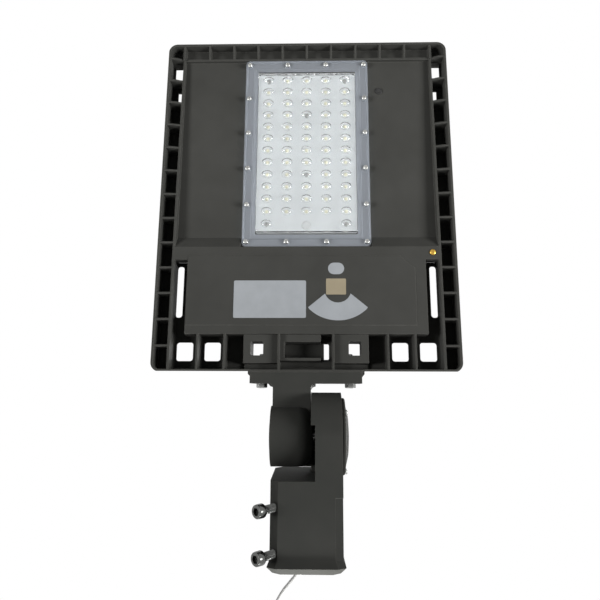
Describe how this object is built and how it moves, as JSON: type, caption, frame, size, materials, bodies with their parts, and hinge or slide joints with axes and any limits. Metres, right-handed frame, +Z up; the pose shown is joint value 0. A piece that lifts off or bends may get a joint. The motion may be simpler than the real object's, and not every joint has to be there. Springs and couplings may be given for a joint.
{
  "type": "shoebox area light",
  "caption": "Outdoor area light: flat ribbed rectangular head with a clear lens panel, on a tilting slip fitter that clamps over a round pole tenon.",
  "frame": {"origin": "centre of the slip fitter's mouth, on the axis of the bore for the pole", "axes": "+Z up along the bore, which opens towards -Z; -Y the way the lit face looks; +X to the right of that face as one looks at it; the head stands upright, in line with the pole"},
  "size_m": [0.32, 0.107, 0.8327],
  "materials": {
    "cast": "matte",
    "steel": "satin",
    "clear": "gloss",
    "board": "matte",
    "led": "matte",
    "silicone": "matte",
    "seal": "matte",
    "brass": "satin",
    "label": "matte",
    "gold": "satin",
    "driver_case": "satin",
    "white_plastic": "matte",
    "black_plastic": "matte",
    "cable": "matte",
    "cores": "satin"
  },
  "bodies": {
    "fitter": {"slip_fitter": "cast", "pivot_bolt": "steel", "pivot_washer": "steel", "pivot_nut": "steel", "fitter_lead": "cable", "cap_gasket": "seal", "wiring_cap": "cast", "cap_screws": "steel", "supply_cable": "cable", "cable_cores": "cores"},
    "head": {"housing": "cast", "thermal_pad": "silicone", "led_board": "board", "leds": "led", "lens_gasket": "silicone", "lens_cover": "clear", "lens_screws": "steel", "breather_vent": "seal", "earth_screw": "brass", "rating_label": "label", "oval_badge": "label", "gold_label": "gold", "fan_label": "label", "driver": "driver_case", "driver_screws": "steel", "surge_protector": "white_plastic", "terminal_block": "white_plastic", "cable_gland": "black_plastic", "gland_nut": "black_plastic", "mains_leads": "cores", "led_leads": "cores", "lid_gasket": "seal", "driver_lid": "cast", "lid_screws": "steel", "mount_arm": "cast", "arm_bolts": "steel", "arm_washers": "steel", "barrel_plug": "cast", "head_lead": "cable"},
    "upper_screw": {"upper_clamp_screw": "steel"},
    "lower_screw": {"lower_clamp_screw": "steel"}
  },
  "joints": [
    {"name": "tilt", "type": "hinge", "parent": "fitter", "child": "head", "pos_m": [0, 0.009, 0.122], "axis": [1, 0, 0], "range_deg": [-90, 90]},
    {"name": "upper_screw_travel", "type": "slide", "parent": "fitter", "child": "upper_screw", "axis": [0.7032, 0.7032, 0.1045], "range_m": [0, 0.011]},
    {"name": "lower_screw_travel", "type": "slide", "parent": "fitter", "child": "lower_screw", "axis": [0.7032, 0.7032, 0.1045], "range_m": [0, 0.011]}
  ]
}
